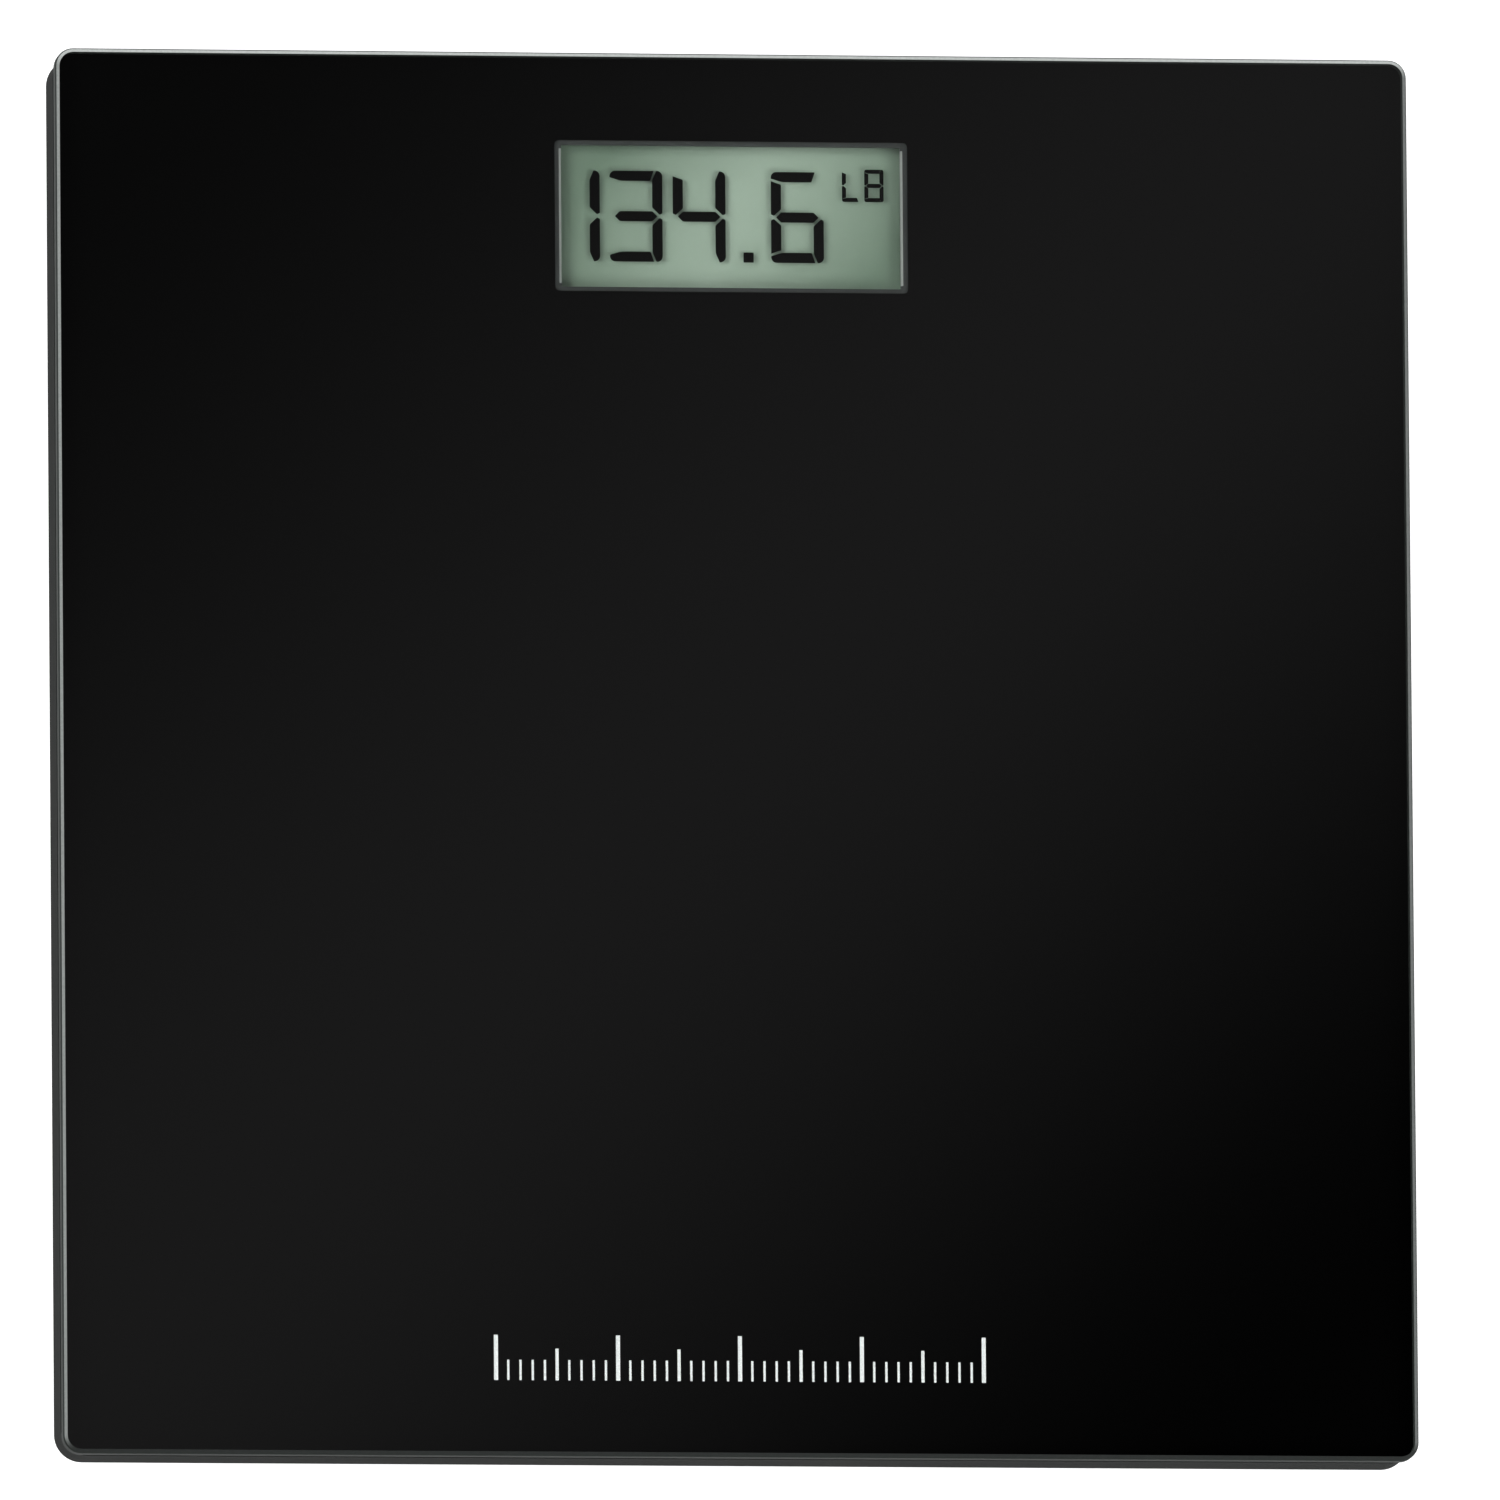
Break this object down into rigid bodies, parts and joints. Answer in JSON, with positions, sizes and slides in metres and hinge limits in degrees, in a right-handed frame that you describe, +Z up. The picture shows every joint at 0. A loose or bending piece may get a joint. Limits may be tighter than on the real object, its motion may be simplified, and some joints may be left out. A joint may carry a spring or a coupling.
{
  "type": "digital bathroom scale",
  "caption": "Square digital bathroom scale: black-backed glass platform on a shallow dark grey tray, with a display window near the back edge and round load-cell feet.",
  "frame": {"origin": "on the floor under the middle of the platform, at the bottom centre of the box", "axes": "+Z up, +X to the user's right, +Y towards the display end, -Y the edge the user stands at"},
  "size_m": [0.3, 0.311, 0.0238],
  "materials": {
    "clear_glass": "polished float glass with ground edges",
    "black_ink": "fired black print under the glass",
    "white_ink": "white print under the glass",
    "foam_tape": "black acrylic foam tape",
    "tray_plastic": "dark grey moulded ABS, fine spark texture",
    "holder_plastic": "natural moulded ABS",
    "foot_plastic": "black moulded nylon",
    "foot_rubber": "dark grey soft rubber",
    "cell_steel": "stamped and zinc plated",
    "white_silicone": "white silicone",
    "bezel_plastic": "dark grey moulded ABS",
    "lcd_glass": "thin display glass",
    "polariser": "polarising film",
    "segment_black": "darkened liquid crystal",
    "display_seal": "epoxy seal",
    "reflector": "grey green reflecting film",
    "zebra_rubber": "striped conductive rubber",
    "board_green": "green solder mask",
    "screw_steel": "zinc plated",
    "chip_resin": "black epoxy",
    "part_ceramic": "chip resistors",
    "bright_metal": "nickel plated",
    "switch_plastic": "black moulded",
    "button_plastic": "grey moulded ABS",
    "contact_steel": "nickel plated spring steel",
    "wire_red": "PVC insulation",
    "wire_black": "PVC insulation",
    "wire_white": "PVC insulation"
  },
  "bodies": {
    "root": {"base_tray": "tray_plastic", "battery_contact_negative": "contact_steel", "battery_contact_positive": "contact_steel", "battery_wire_black": "wire_black", "battery_wire_red": "wire_red", "black_backprint": "black_ink", "board_resistors": "part_ceramic", "board_screws": "screw_steel", "bonding_tape": "foam_tape", "cell_holder_back_left": "holder_plastic", "cell_holder_back_right": "holder_plastic", "cell_holder_front_left": "holder_plastic", "cell_holder_front_right": "holder_plastic", "cell_wires_black": "wire_black", "cell_wires_red": "wire_red", "cell_wires_white": "wire_white", "chip_coating": "chip_resin", "circuit_board": "board_green", "clock_crystal": "bright_metal", "coin_cell": "bright_metal", "converter_chip": "chip_resin", "display_bezel": "bezel_plastic", "display_gasket": "foam_tape", "gauge_coating_back_left": "white_silicone", "gauge_coating_back_right": "white_silicone", "gauge_coating_front_left": "white_silicone", "gauge_coating_front_right": "white_silicone", "glass_platform": "clear_glass", "graduation_marks": "white_ink", "lcd_edge_seal": "display_seal", "lcd_front_glass": "lcd_glass", "lcd_front_polariser": "polariser", "lcd_rear_glass": "lcd_glass", "lcd_reflector": "reflector", "lcd_segments": "segment_black", "load_cell_back_left": "cell_steel", "load_cell_back_right": "cell_steel", "load_cell_front_left": "cell_steel", "load_cell_front_right": "cell_steel", "tact_switch": "switch_plastic", "zebra_strips": "zebra_rubber"},
    "foot_front_left": {"foot_cup_front_left": "foot_plastic", "foot_pad_front_left": "foot_rubber"},
    "foot_front_right": {"foot_cup_front_right": "foot_plastic", "foot_pad_front_right": "foot_rubber"},
    "foot_back_left": {"foot_cup_back_left": "foot_plastic", "foot_pad_back_left": "foot_rubber"},
    "foot_back_right": {"foot_cup_back_right": "foot_plastic", "foot_pad_back_right": "foot_rubber"},
    "unit_button": {"unit_button": "button_plastic", "switch_plunger": "switch_plastic"},
    "battery_door": {"battery_door": "tray_plastic"}
  },
  "joints": [
    {"name": "foot_front_left_press", "type": "slide", "parent": "root", "child": "foot_front_left", "axis": [0, 0, 1], "range_m": [0, 0.0004], "stiffness_N_per_m": 20000, "springref_m": -0.0004, "deforming": ["load_cell_front_left"]},
    {"name": "foot_front_right_press", "type": "slide", "parent": "root", "child": "foot_front_right", "axis": [0, 0, 1], "range_m": [0, 0.0004], "stiffness_N_per_m": 20000, "springref_m": -0.0004, "deforming": ["load_cell_front_right"]},
    {"name": "foot_back_left_press", "type": "slide", "parent": "root", "child": "foot_back_left", "axis": [0, 0, 1], "range_m": [0, 0.0004], "stiffness_N_per_m": 20000, "springref_m": -0.0004, "deforming": ["load_cell_back_left"]},
    {"name": "foot_back_right_press", "type": "slide", "parent": "root", "child": "foot_back_right", "axis": [0, 0, 1], "range_m": [0, 0.0004], "stiffness_N_per_m": 20000, "springref_m": -0.0004, "deforming": ["load_cell_back_right"]},
    {"name": "unit_button_press", "type": "slide", "parent": "root", "child": "unit_button", "axis": [0, 0, 1], "range_m": [0, 0.0004], "stiffness_N_per_m": 3000, "springref_m": -0.0002},
    {"name": "battery_door_hinge", "type": "hinge", "parent": "root", "child": "battery_door", "pos_m": [0, 0.0555, 0.005], "axis": [-1, 0, 0], "range_deg": [0, 90]}
  ]
}
